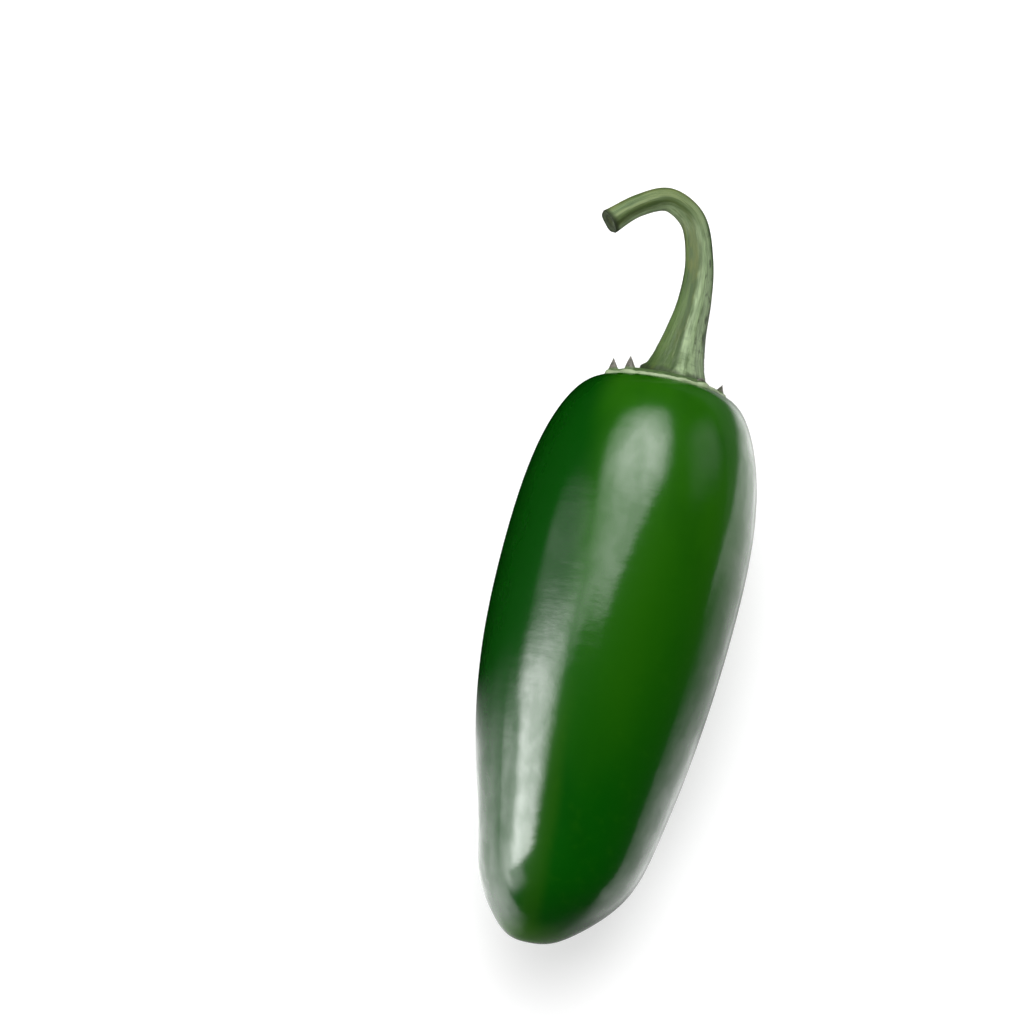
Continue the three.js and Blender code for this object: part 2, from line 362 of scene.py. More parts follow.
# Pod
# The fruit: thick glossy skin under thin wax, grown as one body with three soft corners, a long
# shallow furrow and a fine crease, and lying on a small flat spot. Sizes are in millimetres in
# the pod's own frame, which has the tip at its origin and the axis along Y.
POD_PROFILE = (  # distance from the tip, radius
    (0, 0), (0.15, 2.9), (2.6, 6.0), (7.5, 10.3), (15, 11.85), (25, 14.2), (36, 15.8),
    (47, 16.2), (57, 16.0), (65.5, 14.7), (71.5, 12.3), (74.6, 9.6), (75, 5), (75, 0),
)
POD_BOW = (  # distance from the tip, how far the axis bows to the side
    (0, -3.9), (4, -3.0), (12, -1.7), (25, -2.0), (40, -1.7), (55, -0.6), (68, -0.3), (75, 0),
)
POD_STEPS = 16  # rings for each point of the profile
POD_SIDES = 224
REST_TILT = math.radians(2.4)
REST_FLAT_DEPTH = 0.3
MILLIMETRE = 0.001

POD_FORM = {
    "Lobes": 3,
    "Lobe height": 0.012,  # part of the radius
    "Lobe angle": math.radians(-38),  # from the top, positive toward +X
    "Furrow start": 18,
    "Furrow end": 66,
    "Furrow start angle": math.radians(-19),
    "Furrow end angle": math.radians(-31.5),
    "Furrow half width": 2.6,
    "Furrow depth": 0.3,
    "Crease start": 5,
    "Crease end": 32,
    "Crease start angle": math.radians(-43),
    "Crease end angle": math.radians(-38),
    "Crease half width": 0.8,
    "Crease depth": 0.06,
    "Unevenness": 0.32,
    "Unevenness length": 14,
    "Seed": 3.7,
}
DEEPEST_PART = 0.7  # part of a groove's length, from its start, where it is deepest
LEVEL_NOISE = 0.7  # noise under this lies below the turned skin
UNEVEN_STRETCH = (1.0, 0.4, 1.0)
POLE_SPAN = (0, 9)  # radii over which the unevenness comes in

DEEP_GREEN = (0.0008, 0.056, 0.0002, 1)
LIVELY_GREEN = (0.0115, 0.083, 0.0005, 1)
SHADED_GREEN = (0.0008, 0.040, 0.0003, 1)
# painted shade: the darker green of the left flank, where less light falls
LEFT_FLANK_SHADE_GREEN = (0.0004, 0.044, 0.0001, 1)
TIP_BROWN = (0.032, 0.120, 0.005, 1)
# painted sheen: a lighter olive beside the long highlight
SHEEN_OLIVE = (0.022, 0.085, 0.0003, 1)
SHOULDER_PALE = (0.018, 0.095, 0.004, 1)
# Where the colours change, in metres from the resting spot: along Y, or across for the painted shade
# of the left flank and the painted sheen by the long highlight.
LIVELY_SPAN = (-0.028, 0.018)
TIP_SPAN = (-0.0385, -0.0421)
SHOULDER_SPAN = (0.0310, 0.0330)
SHEEN_SPAN = (-0.006, -0.020)
SHEEN_SIDES = ((-0.0072, -0.0054), (-0.0026, -0.0046))
LEFT_FLANK_SHADE_SPAN = (-0.0050, -0.0095)
LIVELY_UNEVEN = 1.9
FLANK_UNEVEN = 0.006
PATCH_WEIGHT = 0.45
FRECKLE_WEIGHT = 0.25
SHEEN_WEIGHT = 0.35
TIP_WEIGHT = 0.85
SHOULDER_WEIGHT = 0.5

# Each grain has its stretch, scale, detail and seed.
EVEN = (1, 1, 1)
BROAD_GRAIN = (1, 0.35, 1), 60, 2, 1.3
PATCH_GRAIN = (1, 0.5, 1), 110, 3, 5.1
FRECKLE_GRAIN = EVEN, 700, 3, 2.2
DULL_GRAIN = EVEN, 180, 2, 8.8
WORN_GRAIN = (1, 0.6, 1), 420, 3, 2.9
WRINKLE_GRAIN = (0.30, 1, 0.30), 530, 1, 4.4
CROSS_GRAIN = (0.30, 1, 0.30), 2000, 1, 7.4
PORE_GRAIN = EVEN, 900, 2, 6.1
PATCH_SPAN = (0.52, 0.75)
FRECKLE_SPAN = (0.5, 0.8)
WORN_SPAN = (0.38, 0.62)
WRINKLE_DEPTH = 0.000024
CROSS_DEPTH = 0.000005
PORE_DEPTH = 0.000010
SKIN_ROUGHNESS = (0.10, 0.37)  # gain by its grain, base
SKIN_SPECULAR = 0.04
SKIN_IOR = 1.45
WAX_WEIGHT = (0.24, 0.76)
WAX_ROUGHNESS = 0.13
WAX_IOR = 1.46


def noise(tree, place, scale, detail, seed):
    """Soft noise from about nought to one, in four dimensions so that it has a seed."""
    inputs = {"Vector": place, "W": seed, "Scale": scale, "Detail": detail}
    return add_node(tree, "ShaderNodeTexNoise", inputs, noise_dimensions="4D").outputs[0]


def off_centre(tree, value, amount, base):
    """How far noise is from its middle, times an amount, added to a base."""
    return calc(tree, "MULTIPLY_ADD", calc(tree, "SUBTRACT", value, 0.5), amount, base)


def vector_calc(tree, operation, *terms):
    """One step of arithmetic with vectors in a node tree."""
    return add_node(
        tree, "ShaderNodeVectorMath", enumerate(terms), operation=operation).outputs[0]


def squares(tree, first, second):
    """Two terms squared and added."""
    return calc(
        tree, "ADD", calc(tree, "MULTIPLY", first, first), calc(tree, "MULTIPLY", second, second))


def start_tree(name, sizes):
    """A Geometry Nodes tree that takes a body, its skin and named sizes."""
    tree = bpy.data.node_groups.new(name, "GeometryNodeTree")
    sockets = {"Body": "Geometry", "Skin": "Material", **sizes}
    for label, kind in sockets.items():
        kind = kind if isinstance(kind, str) else "Float"
        tree.interface.new_socket(label, in_out="INPUT", socket_type="NodeSocket" + kind)
    tree.interface.new_socket("Body", in_out="OUTPUT", socket_type="NodeSocketGeometry")
    return tree, tree.nodes.new("NodeGroupInput").outputs


def end_tree(tree, body, skin):
    """Makes real, smooths and paints what a tree has formed."""
    real = add_node(tree, "GeometryNodeRealizeInstances", {"Geometry": body}).outputs[0]
    smooth = add_node(tree, "GeometryNodeSetShadeSmooth", {"Geometry": real}).outputs[0]
    painted = add_node(
        tree, "GeometryNodeSetMaterial", {"Geometry": smooth, "Material": skin}).outputs[0]
    add_node(tree, "NodeGroupOutput", {"Body": painted})


def grow(body, tree, sizes):
    """Runs a tree on a body, and leaves the result as its plain mesh."""
    modifier = body.modifiers.new(tree.name, "NODES")
    modifier.node_group = tree
    for socket in tree.interface.items_tree:
        if socket.in_out == "INPUT" and socket.name in sizes:
            value = sizes[socket.name]
            modifier[socket.identifier] = float(value) if isinstance(value, int) else value
    evaluated = body.evaluated_get(bpy.context.evaluated_depsgraph_get())
    mesh = bpy.data.meshes.new_from_object(evaluated)
    body.modifiers.remove(modifier)
    body.data = mesh


def pulled_curve(control, before, after, steps):
    """Points of the smooth cubic curve that the control points pull on."""
    pulls = np.array([before, *control, after], float)
    t = np.linspace(0, 1, steps, endpoint=False)[:, None]
    weights = (
        (1 - t) ** 3,
        3 * t ** 3 - 6 * t ** 2 + 4,
        -3 * t ** 3 + 3 * t ** 2 + 3 * t + 1,
        t ** 3,
    )
    spans = [
        sum(weight * pulls[first + k] for k, weight in enumerate(weights)) / 6
        for first in range(len(pulls) - 3)
    ]
    end = (pulls[-3] + 4 * pulls[-2] + pulls[-1]) / 6
    return np.vstack([*spans, end])


def turned_body(name, outline, sides):
    """A closed body turned round Y, from (radius, distance) points that start and end on it."""
    turns = np.linspace(0, 2 * math.pi, sides, endpoint=False)
    points = [(0, outline[0][1], 0)]
    for radius, along in outline[1:-1]:
        points.extend((radius * math.sin(turn), along, radius * math.cos(turn)) for turn in turns)
    points.append((0, outline[-1][1], 0))
    faces = []
    last = len(points) - 1
    for side in range(sides):
        across = (side + 1) % sides
        faces.append((0, 1 + across, 1 + side))
        faces.append((last, last - sides + side, last - sides + across))
        for ring in range(len(outline) - 3):
            base = 1 + ring * sides
            faces.append((
                base + side, base + across, base + sides + across, base + sides + side))
    mesh = bpy.data.meshes.new(name)
    mesh.from_pydata(points, [], faces)
    return add_object(name, mesh)


def mark(mesh, name, values):
    """Keeps a number at each point of a mesh, for a tree to read."""
    mesh.attributes.new(name, "FLOAT", "POINT").data.foreach_set("value", values)


def lay_down(body):
    """Takes a piece from the pod's own frame to where it lies, in metres."""
    tilt = Matrix.Rotation(REST_TILT, 4, "X")
    profile = [tilt @ Vector((0, along, -radius)) for along, radius in pod_profile]
    lowest = min(profile, key=lambda point: point.z)
    settle = Matrix.Translation((0, -lowest.y, -lowest.z - REST_FLAT_DEPTH))
    body.data.transform(Matrix.Scale(MILLIMETRE, 4) @ settle @ tilt)
    body.data.update()


def straight_on(end, inner):
    """The phantom point that lets a curve run straight off its end."""
    return tuple(2 * a - b for a, b in zip(end, inner))


pod_profile = pulled_curve(
    POD_PROFILE,
    (POD_PROFILE[1][0], -POD_PROFILE[1][1]),
    (POD_PROFILE[-2][0], -POD_PROFILE[-2][1]),
    POD_STEPS)
pod_bow = pulled_curve(
    POD_BOW, straight_on(POD_BOW[0], POD_BOW[1]), straight_on(POD_BOW[-1], POD_BOW[-2]), POD_STEPS)


def groove(tree, given, name, along, angle, radius):
    """Depth of a groove that runs aslant along the pod and fades at both ends."""
    start, end, start_angle, end_angle, half_width, depth = (
        given[name + part] for part in (
            " start", " end", " start angle", " end angle", " half width", " depth"))
    run = calc(
        tree, "DIVIDE", calc(tree, "SUBTRACT", along, start), calc(tree, "SUBTRACT", end, start))
    middle = calc(
        tree, "MULTIPLY_ADD", run, calc(tree, "SUBTRACT", end_angle, start_angle), start_angle)
    aside = calc(
        tree, "DIVIDE", calc(tree, "MULTIPLY", radius, calc(tree, "SUBTRACT", angle, middle)),
        half_width)
    hollow = calc(tree, "EXPONENT", product(tree, aside, aside, -1.0))
    return product(
        tree, hollow, depth,
        fade_in(tree, run, 0, DEEPEST_PART), fade_in(tree, run, 1, DEEPEST_PART))


def pod_tree():
    """Presses lobes, grooves and a slight unevenness into a turned pod, and bows it."""
    tree, given = start_tree("pod_form", POD_FORM)
    place = add_node(tree, "GeometryNodeInputPosition").outputs[0]
    x, along, z = add_node(tree, "ShaderNodeSeparateXYZ", {0: place}).outputs
    radius = calc(tree, "SQRT", squares(tree, x, z))
    angle = calc(tree, "ARCTAN2", x, z)

    lobe_turn = calc(tree, "MULTIPLY", given["Lobes"], calc(
        tree, "SUBTRACT", angle, given["Lobe angle"]))
    lobes = calc(
        tree, "MULTIPLY_ADD", calc(tree, "COSINE", lobe_turn), given["Lobe height"], 1.0)

    furrow = groove(tree, given, "Furrow", along, angle, radius)
    crease = groove(tree, given, "Crease", along, angle, radius)
    grooves = calc(tree, "ADD", furrow, crease)

    stretched = vector_calc(tree, "MULTIPLY", place, UNEVEN_STRETCH)
    ripple = calc(tree, "SUBTRACT", noise(
        tree, stretched, calc(tree, "DIVIDE", 1.0, given["Unevenness length"]), 1.0,
        given["Seed"]), LEVEL_NOISE)
    ripple = product(tree, ripple, given["Unevenness"], fade_in(tree, radius, *POLE_SPAN))

    skin = calc(tree, "ADD", calc(
        tree, "SUBTRACT", calc(tree, "MULTIPLY", radius, lobes), grooves), ripple)
    change = calc(tree, "DIVIDE", skin, calc(tree, "MAXIMUM", radius, 1e-4))
    bow = add_node(tree, "GeometryNodeInputNamedAttribute", {"Name": "bow"}).outputs[0]
    moved = add_node(tree, "ShaderNodeCombineXYZ", {
        "X": calc(tree, "ADD", calc(tree, "MULTIPLY", x, change), bow),
        "Y": along,
        "Z": calc(tree, "MULTIPLY", z, change),
    }).outputs[0]
    formed = add_node(
        tree, "GeometryNodeSetPosition", {"Geometry": given["Body"], "Position": moved}).outputs[0]
    end_tree(tree, formed, given["Skin"])
    return tree


def start_finish(name):
    """A new material, its node tree and its surface shader."""
    material = bpy.data.materials.new(name)
    material.use_nodes = True
    return material, material.node_tree, material.node_tree.nodes["Principled BSDF"]


def own_grain(tree, stretch, scale, detail, seed):
    """Noise on Object coordinates, stretched along the piece."""
    place = add_node(tree, "ShaderNodeTexCoord").outputs["Object"]
    place = add_node(tree, "ShaderNodeMapping", {"Vector": place, "Scale": stretch}).outputs[0]
    return noise(tree, place, scale, detail, seed)


def tint(tree, amount, first, second):
    """Blends two colours by an amount."""
    node = add_node(tree, "ShaderNodeMix", data_type="RGBA")
    for number, value in ((0, amount), (6, first), (7, second)):
        feed(tree, node.inputs[number], value)
    return node.outputs[2]


def relief(tree, height, depth, normal=None):
    """Raised grain of the given depth in metres."""
    inputs = {"Height": height, "Distance": depth, "Strength": 1.0}
    if normal is not None:
        inputs["Normal"] = normal
    return add_node(tree, "ShaderNodeBump", inputs).outputs[0]


def waxed_skin():
    """Glossy green under a wax coat: livelier toward the stem and brown at the tip, with painted
    shade on the left flank and a painted olive sheen beside the long highlight.
    """
    material, tree, shader = start_finish("waxed_skin")
    place = add_node(tree, "ShaderNodeTexCoord").outputs["Object"]
    x, along, _ = add_node(tree, "ShaderNodeSeparateXYZ", {0: place}).outputs
    broad = own_grain(tree, *BROAD_GRAIN)
    lively = off_centre(tree, broad, LIVELY_UNEVEN, fade_in(tree, along, *LIVELY_SPAN))
    colour = tint(tree, fade_in(tree, lively, 0.0, 1.0), DEEP_GREEN, LIVELY_GREEN)
    patches = fade_in(tree, own_grain(tree, *PATCH_GRAIN), *PATCH_SPAN)
    colour = tint(tree, calc(tree, "MULTIPLY", patches, PATCH_WEIGHT), colour, SHADED_GREEN)
    freckle = fade_in(tree, own_grain(tree, *FRECKLE_GRAIN), *FRECKLE_SPAN)
    colour = tint(tree, calc(tree, "MULTIPLY", freckle, FRECKLE_WEIGHT), colour, LIVELY_GREEN)
    # Painted shade: the left flank turns a darker green, where less light falls.
    flank = off_centre(tree, broad, FLANK_UNEVEN, x)
    colour = tint(tree, fade_in(tree, flank, *LEFT_FLANK_SHADE_SPAN), colour, LEFT_FLANK_SHADE_GREEN)
    # Painted sheen: a lighter olive strip beside the long highlight, toward the tip.
    left_side, right_side = SHEEN_SIDES
    painted_sheen = product(
        tree, fade_in(tree, flank, *left_side), fade_in(tree, flank, *right_side),
        fade_in(tree, along, *SHEEN_SPAN), SHEEN_WEIGHT)
    colour = tint(tree, painted_sheen, colour, SHEEN_OLIVE)
    at_tip = calc(tree, "MULTIPLY", fade_in(tree, along, *TIP_SPAN), TIP_WEIGHT)
    colour = tint(tree, at_tip, colour, TIP_BROWN)
    at_shoulder = calc(tree, "MULTIPLY", fade_in(tree, along, *SHOULDER_SPAN), SHOULDER_WEIGHT)
    colour = tint(tree, at_shoulder, colour, SHOULDER_PALE)
    feed(tree, shader.inputs["Base Color"], colour)

    dulled = calc(tree, "MULTIPLY_ADD", own_grain(tree, *DULL_GRAIN), *SKIN_ROUGHNESS)
    feed(tree, shader.inputs["Roughness"], dulled)
    worn = fade_in(tree, own_grain(tree, *WORN_GRAIN), *WORN_SPAN)
    feed(tree, shader.inputs["Coat Weight"], calc(tree, "MULTIPLY_ADD", worn, *WAX_WEIGHT))
    normal = relief(tree, own_grain(tree, *WRINKLE_GRAIN), WRINKLE_DEPTH)
    normal = relief(tree, own_grain(tree, *CROSS_GRAIN), CROSS_DEPTH, normal)
    normal = relief(tree, own_grain(tree, *PORE_GRAIN), PORE_DEPTH, normal)
    feed(tree, shader.inputs["Normal"], normal)
    feed(tree, shader.inputs["Coat Normal"], normal)
    shader.inputs["Specular IOR Level"].default_value = SKIN_SPECULAR
    shader.inputs["IOR"].default_value = SKIN_IOR
    shader.inputs["Coat Roughness"].default_value = WAX_ROUGHNESS
    shader.inputs["Coat IOR"].default_value = WAX_IOR
    return material


pod = turned_body("pod_skin", [(radius, along) for along, radius in pod_profile], POD_SIDES)
mark(pod.data, "bow", np.interp(
    [vertex.co.y for vertex in pod.data.vertices], pod_bow[:, 0], pod_bow[:, 1]))
grow(pod, pod_tree(), {**POD_FORM, "Skin": waxed_skin()})
pod.data.attributes.remove(pod.data.attributes["bow"])
lay_down(pod)
for vertex in pod.data.vertices:
    vertex.co.z = max(vertex.co.z, 0)  # levels the flat spot
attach(pod, "root")
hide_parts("pod")


# Calyx
# The thin cap that held the flower: pale at its rim, ribbed out from the stem, and ending in
# small erect teeth that have dried grey. It grew onto the shoulder, so it sits into the skin.
CALYX_RADIUS = 8.2
CALYX_FLAT_RADIUS = 4.6
CALYX_TOP = 75.9  # distance from the tip to the level middle
CALYX_RIM_THICKNESS = 0.35
CALYX_SUNK = 0.25
CALYX_RIM = (  # out past the radius, part of the rim's thickness
    (0.10, 0.35), (0.06, 0.8),
)
CALYX_SIDES = 480
RINGS_UNDER = 14
RINGS_IN_MIDDLE = 22
TOOTH_RING_STEP = 0.07
TOOTH_RINGS = (CALYX_RADIUS - 0.05, 6.7)
MIDDLE_RADIUS = 6.65
SHOULDER_START = 69  # distance from the tip
TOOTH_PLACE = 7.45  # distance from the axis
TEETH = (  # angle in degrees from the top, height
    (-67, 1.6), (-40, 1.7), (38, 0.5), (84, 1.1), (124, 1.4), (170, 1.5), (224, 1.4),
)
CALYX_FORM = {
    "Rib height": 0.15,
    "Rib half width": 1.5,
    "Scallop": 0.04,
    "Rim unevenness": 0.10,
    "Roughness": 0.2,
    "Tooth half width": 0.85,
    "Tooth half depth": 0.5,
    "Tooth lean": 0.17,
    "Seed": 1.9,
}
RIB_SPAN = (CALYX_FLAT_RADIUS - 0.6, 6.0)
WAVE_SPAN = (6.4, CALYX_RADIUS)
ROUGH_GRAIN = (0.9, 2)  # scale, detail

CAP_GREEN = (0.085, 0.145, 0.045, 1)
CAP_PALE = (0.260, 0.330, 0.185, 1)
CAP_DEEP = (0.030, 0.065, 0.016, 1)
TOOTH_GREY = (0.140, 0.128, 0.110, 1)
TOOTH_DARK = (0.045, 0.048, 0.032, 1)
MOTTLE_GRAIN = EVEN, 900, 3, 1.1
MOTTLE_SPAN = (0.35, 0.7)
DRIED_GRAIN = EVEN, 2600, 2, 3.3
DRIED_SPAN = (0.35, 0.6)
CAP_GRAIN = EVEN, 1800, 3, 7.0
CAP_GRAIN_DEPTH = 0.00004
PALE_RIM_SPAN = (0.985, 1.03)  # part of the cap's radius
PALE_RIM_UNEVEN = 0.05
TOOTH_SPAN = (0.05, 0.3)  # part of a tooth's height
CAP_ROUGHNESS = (0.2, 0.42)  # gain by its mottle, base
CAP_SPECULAR = 0.4


def calyx_tree():
    """Raises a rib and a tooth toward each root point on a turned cap, and waves its rim."""
    tree, given = start_tree("calyx_form", {**CALYX_FORM, "Teeth": "Object"})
    place = add_node(tree, "GeometryNodeInputPosition").outputs[0]
    x, along, z = add_node(tree, "ShaderNodeSeparateXYZ", {0: place}).outputs
    radius = calc(tree, "SQRT", squares(tree, x, z))

    # Each place looks to its nearest tooth root, and measures toward it and aside from it.
    roots = add_node(tree, "GeometryNodeObjectInfo", {"Object": given["Teeth"]}).outputs["Geometry"]
    outermost = calc(tree, "DIVIDE", TOOTH_PLACE, calc(tree, "MAXIMUM", radius, 0.01))
    on_root_ring = add_node(tree, "ShaderNodeCombineXYZ", {
        "X": calc(tree, "MULTIPLY", x, outermost), "Y": 0.0,
        "Z": calc(tree, "MULTIPLY", z, outermost)}).outputs[0]
    nearest = add_node(
        tree, "GeometryNodeSampleNearest", {"Geometry": roots, "Sample Position": on_root_ring},
        domain="POINT").outputs[0]
    tall = add_node(tree, "GeometryNodeInputNamedAttribute", {"Name": "height"}).outputs[0]
    height = add_node(
        tree, "GeometryNodeSampleIndex", {"Geometry": roots, "Value": tall, "Index": nearest},
        data_type="FLOAT").outputs[0]
    root_place = add_node(
        tree, "GeometryNodeSampleIndex",
        {"Geometry": roots, "Value": add_node(tree, "GeometryNodeInputPosition").outputs[0],
         "Index": nearest}, data_type="FLOAT_VECTOR").outputs[0]
    root_x, _, root_z = add_node(tree, "ShaderNodeSeparateXYZ", {0: root_place}).outputs
    out_x = calc(tree, "DIVIDE", root_x, TOOTH_PLACE)
    out_z = calc(tree, "DIVIDE", root_z, TOOTH_PLACE)
    toward = calc(tree, "ADD", calc(tree, "MULTIPLY", x, out_x), calc(tree, "MULTIPLY", z, out_z))
    aside = calc(
        tree, "SUBTRACT", calc(tree, "MULTIPLY", x, out_z), calc(tree, "MULTIPLY", z, out_x))
    across = calc(tree, "DIVIDE", aside, given["Tooth half width"])
    inward = calc(
        tree, "DIVIDE", calc(tree, "SUBTRACT", toward, TOOTH_PLACE), given["Tooth half depth"])
    apart = calc(tree, "SQRT", squares(tree, across, inward))
    tooth = calc(tree, "MAXIMUM", calc(tree, "SUBTRACT", 1.0, apart), 0.0)

    rib = fade_in(tree, calc(tree, "ABSOLUTE", aside), given["Rib half width"], 0.0)
    outward = fade_in(tree, radius, *RIB_SPAN)
    rough = calc(tree, "SUBTRACT", noise(tree, place, *ROUGH_GRAIN, given["Seed"]), 0.5)
    lift = product(tree, rib, outward, given["Rib height"])
    lift = calc(tree, "ADD", lift, product(tree, rough, outward, given["Roughness"]))
    above = add_node(tree, "GeometryNodeInputNamedAttribute", {"Name": "above"}).outputs[0]
    rise = product(tree, tooth, height, above)
    lift = calc(tree, "ADD", product(tree, lift, above), rise)
    near_rim = fade_in(tree, radius, *WAVE_SPAN)
    wave = calc(tree, "MULTIPLY", calc(tree, "SUBTRACT", rib, 0.5), given["Scallop"])
    wave = calc(tree, "MULTIPLY_ADD", rough, given["Rim unevenness"], wave)
    swell = calc(tree, "MULTIPLY_ADD", wave, near_rim, 1.0)
    lean = calc(tree, "MULTIPLY", rise, given["Tooth lean"])
    moved = add_node(tree, "ShaderNodeCombineXYZ", {
        "X": calc(tree, "MULTIPLY_ADD", out_x, lean, calc(tree, "MULTIPLY", x, swell)),
        "Y": calc(tree, "ADD", along, lift),
        "Z": calc(tree, "MULTIPLY_ADD", out_z, lean, calc(tree, "MULTIPLY", z, swell)),
    }).outputs[0]
    body = given["Body"]
    for name, value in (("tooth", tooth), ("outward", calc(tree, "DIVIDE", radius, CALYX_RADIUS))):
        body = add_node(tree, "GeometryNodeStoreNamedAttribute", {
            "Geometry": body, "Name": name, "Value": value}, data_type="FLOAT").outputs[0]
    formed = add_node(
        tree, "GeometryNodeSetPosition", {"Geometry": body, "Position": moved}).outputs[0]
    end_tree(tree, formed, given["Skin"])
    return tree


def cap_skin():
    """Pale green and satin, mottled, paler at the rim, with dried grey teeth."""
    material, tree, shader = start_finish("cap_skin")
    outward = add_node(tree, "ShaderNodeAttribute", attribute_name="outward").outputs["Fac"]
    tooth = add_node(tree, "ShaderNodeAttribute", attribute_name="tooth").outputs["Fac"]
    mottle = own_grain(tree, *MOTTLE_GRAIN)
    colour = tint(tree, fade_in(tree, mottle, *MOTTLE_SPAN), CAP_DEEP, CAP_GREEN)
    rim = calc(tree, "MULTIPLY_ADD", mottle, PALE_RIM_UNEVEN, outward)
    colour = tint(tree, fade_in(tree, rim, *PALE_RIM_SPAN), colour, CAP_PALE)
    grain = own_grain(tree, *DRIED_GRAIN)
    dried = tint(tree, fade_in(tree, grain, *DRIED_SPAN), TOOTH_DARK, TOOTH_GREY)
    colour = tint(tree, fade_in(tree, tooth, *TOOTH_SPAN), colour, dried)
    feed(tree, shader.inputs["Base Color"], colour)
    feed(tree, shader.inputs["Roughness"], calc(tree, "MULTIPLY_ADD", mottle, *CAP_ROUGHNESS))
    normal = relief(tree, own_grain(tree, *CAP_GRAIN), CAP_GRAIN_DEPTH)
    feed(tree, shader.inputs["Normal"], normal)
    shader.inputs["Specular IOR Level"].default_value = CAP_SPECULAR
    return material


shoulder = pod_profile[pod_profile[:, 0] > SHOULDER_START][::-1]


def shoulder_at(radius):
    """Distance from the tip to the pod's skin, near the stem end."""
    return float(np.interp(radius, shoulder[:, 1], shoulder[:, 0]))


def crown_at(radius):
    """Distance from the tip to the calyx's upper side."""
    run = min(max((radius - CALYX_FLAT_RADIUS) / (CALYX_RADIUS - CALYX_FLAT_RADIUS), 0), 1)
    fall = run * run * (3 - 2 * run)
    return CALYX_TOP + (shoulder_at(radius) + CALYX_RIM_THICKNESS - CALYX_TOP) * fall


# The rings lie closest under the teeth.
under_radii = np.linspace(0, CALYX_RADIUS, RINGS_UNDER)
upper_radii = [
    *np.arange(*TOOTH_RINGS, -TOOTH_RING_STEP), *np.linspace(MIDDLE_RADIUS, 0, RINGS_IN_MIDDLE)]
calyx_outline = [(radius, shoulder_at(radius) - CALYX_SUNK) for radius in under_radii]
calyx_outline += [
    (CALYX_RADIUS + out, shoulder_at(CALYX_RADIUS) + CALYX_RIM_THICKNESS * part)
    for out, part in CALYX_RIM]
calyx_outline += [(radius, crown_at(radius)) for radius in upper_radii]
calyx = turned_body("calyx_cap", calyx_outline, CALYX_SIDES)
points_below = (RINGS_UNDER + 1) * CALYX_SIDES
mark(calyx.data, "above", [float(i > points_below) for i in range(len(calyx.data.vertices))])

turns = [math.radians(turn) for turn, _ in TEETH]
tooth_roots = bpy.data.meshes.new("tooth_roots")
tooth_roots.from_pydata(
    [(TOOTH_PLACE * math.sin(turn), 0, TOOTH_PLACE * math.cos(turn)) for turn in turns], [], [])
mark(tooth_roots, "height", [height for _, height in TEETH])
roots = add_object("tooth_roots", tooth_roots)
grow(calyx, calyx_tree(), {**CALYX_FORM, "Skin": cap_skin(), "Teeth": roots})
bpy.data.objects.remove(roots)
calyx.data.attributes.remove(calyx.data.attributes["above"])
lay_down(calyx)
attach(calyx, "root")
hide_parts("calyx")


# Stem
# A tough ribbed stalk that flares to a trumpet foot on the calyx and hooks to one side, as it
# grew, and ends where it was cut, with a slightly paler ring round a sunken pith.
STEM_PATH = (  # x, distance from the tip, z
    (0.95, 75.6, 0.2), (1.45, 81.5, 0.3), (1.9, 87, 0.5), (1.5, 92.6, 0.8),
    (-0.35, 97.5, 1.4), (-3.9, 99.25, 2.6), (-7.7, 97.45, 3.8), (-11.1, 94.3, 4.8),
)
STEM_RADII = (  # part of the length, radius
    (0, 4.75), (0.02, 4.35), (0.06, 3.75), (0.1, 3.35), (0.15, 2.98), (0.21, 2.6), (0.28, 2.32),
    (0.36, 2.1), (0.45, 1.9), (0.54, 1.76), (0.68, 1.67), (0.82, 1.42), (0.92, 1.42),
    (0.97, 1.55), (1, 1.64),
)
STEM_STEPS = 20
STEM_SIDES = 120
PATH_STEPS = 40
STEM_FORM = {
    "Ribs": 5,
    "Rib height": 0.05,
    "Grooves": 0.10,
    "Foot wrinkles": 0.16,
    "Knot height": 0.45,
    "Length": 0.0,  # worked out below
    "Seed": 2.6,
}
CUT_FACE = (  # radius, how far in from the end
    (1.62, 0.0), (1.5, -0.03), (1.38, 0.05), (1.15, 0.10), (0.95, 0.16), (0.75, 0.38), (0.4, 0.46),
)
GROOVE_RUN = 0.05  # how little the grooves change along the stem
GROOVE_GRAIN = (3.2, 2)  # scale, detail
FOLD_STRETCH = (0.35, 1.6, 0.35)
FOLD_GRAIN = (1.1, 2)
FOLD_SPANS = ((9.0, 3.0), (0.2, 1.5))  # along the stem
FULL_RADII = (0.2, 1.3)
KNOT_ANGLE = math.radians(-158)
KNOT_ALONG = 0.75
KNOT_RADIUS = 0.5

STALK_GREEN = (0.030, 0.062, 0.012, 1)
STALK_LIGHT = (0.074, 0.126, 0.032, 1)
STALK_PAINTED_LIGHT = (0.275, 0.370, 0.200, 1)
STALK_OLIVE = (0.086, 0.110, 0.018, 1)
STALK_DARK = (0.018, 0.028, 0.011, 1)
CUT_BROWN = (0.022, 0.034, 0.011, 1)
CUT_PALE = (0.042, 0.060, 0.024, 1)
# Sides are angles round the stalk from its right side, positive downward. Spans are distances
# along it.
# Painted light: one side of the stalk is paler, where the light falls on it.
LIT_SIDE = math.radians(-56)
LIT_SIDE_TURN = math.radians(6)  # how far the pale side turns on the way to the hook
LIT_SIDE_TURN_SPAN = (2.0, 16.0)
LIT_SIDE_EDGE = (0.70, 0.98)
LIT_SIDE_WEIGHT = 0.85
LIT_SIDE_LOSS = -0.55  # added to that weight toward the hook
LIT_SIDE_LOSS_SPAN = (18.0, 27.0)
